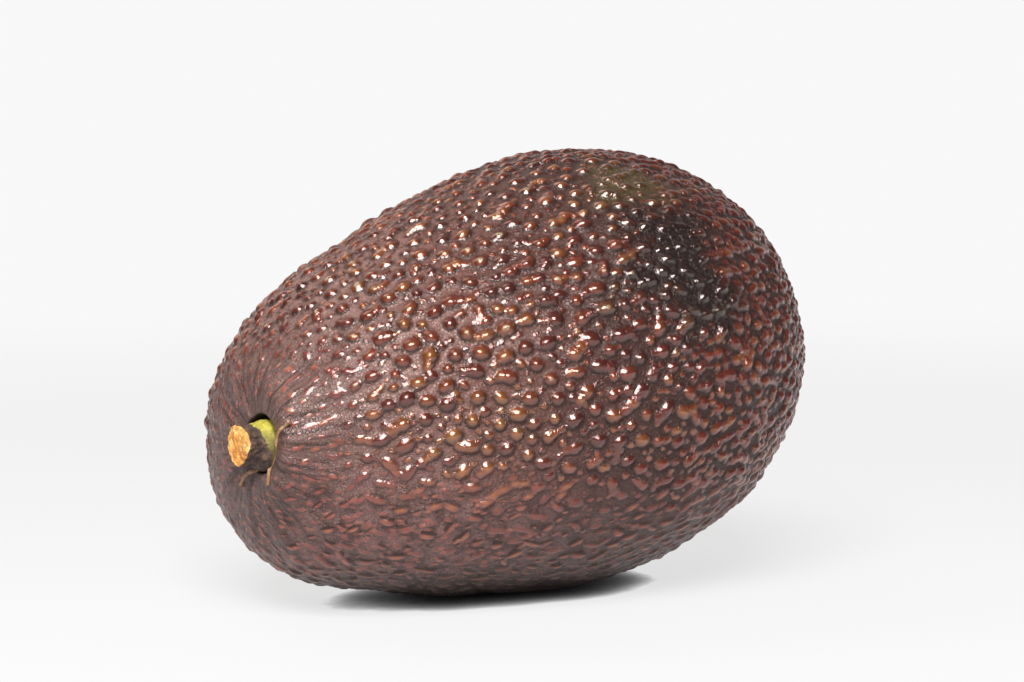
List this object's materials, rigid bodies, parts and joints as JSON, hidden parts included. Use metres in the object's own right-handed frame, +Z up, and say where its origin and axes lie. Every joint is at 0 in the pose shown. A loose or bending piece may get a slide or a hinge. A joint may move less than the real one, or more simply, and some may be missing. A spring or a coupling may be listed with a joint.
{
  "type": "avocado",
  "caption": "Whole ripe avocado lying on its side: a pear-like body with dark pebbled skin, and the woody stub of its stem in a round seat at the narrow end.",
  "frame": {"origin": "on the surface the fruit lies on, under the middle of its box", "axes": "+Z up, X along the fruit's long side with the stem end at -X"},
  "size_m": [0.1063, 0.0726, 0.0712],
  "materials": {
    "avocado_skin": "dark purple-brown pebbled rind, waxy satin, with copper-red pebbles",
    "stem_wood": "matt brown bark with a yellow-green collar and a pale orange cut face"
  },
  "bodies": {
    "root": {"fruit": "avocado_skin", "stem": "stem_wood"}
  },
  "joints": []
}
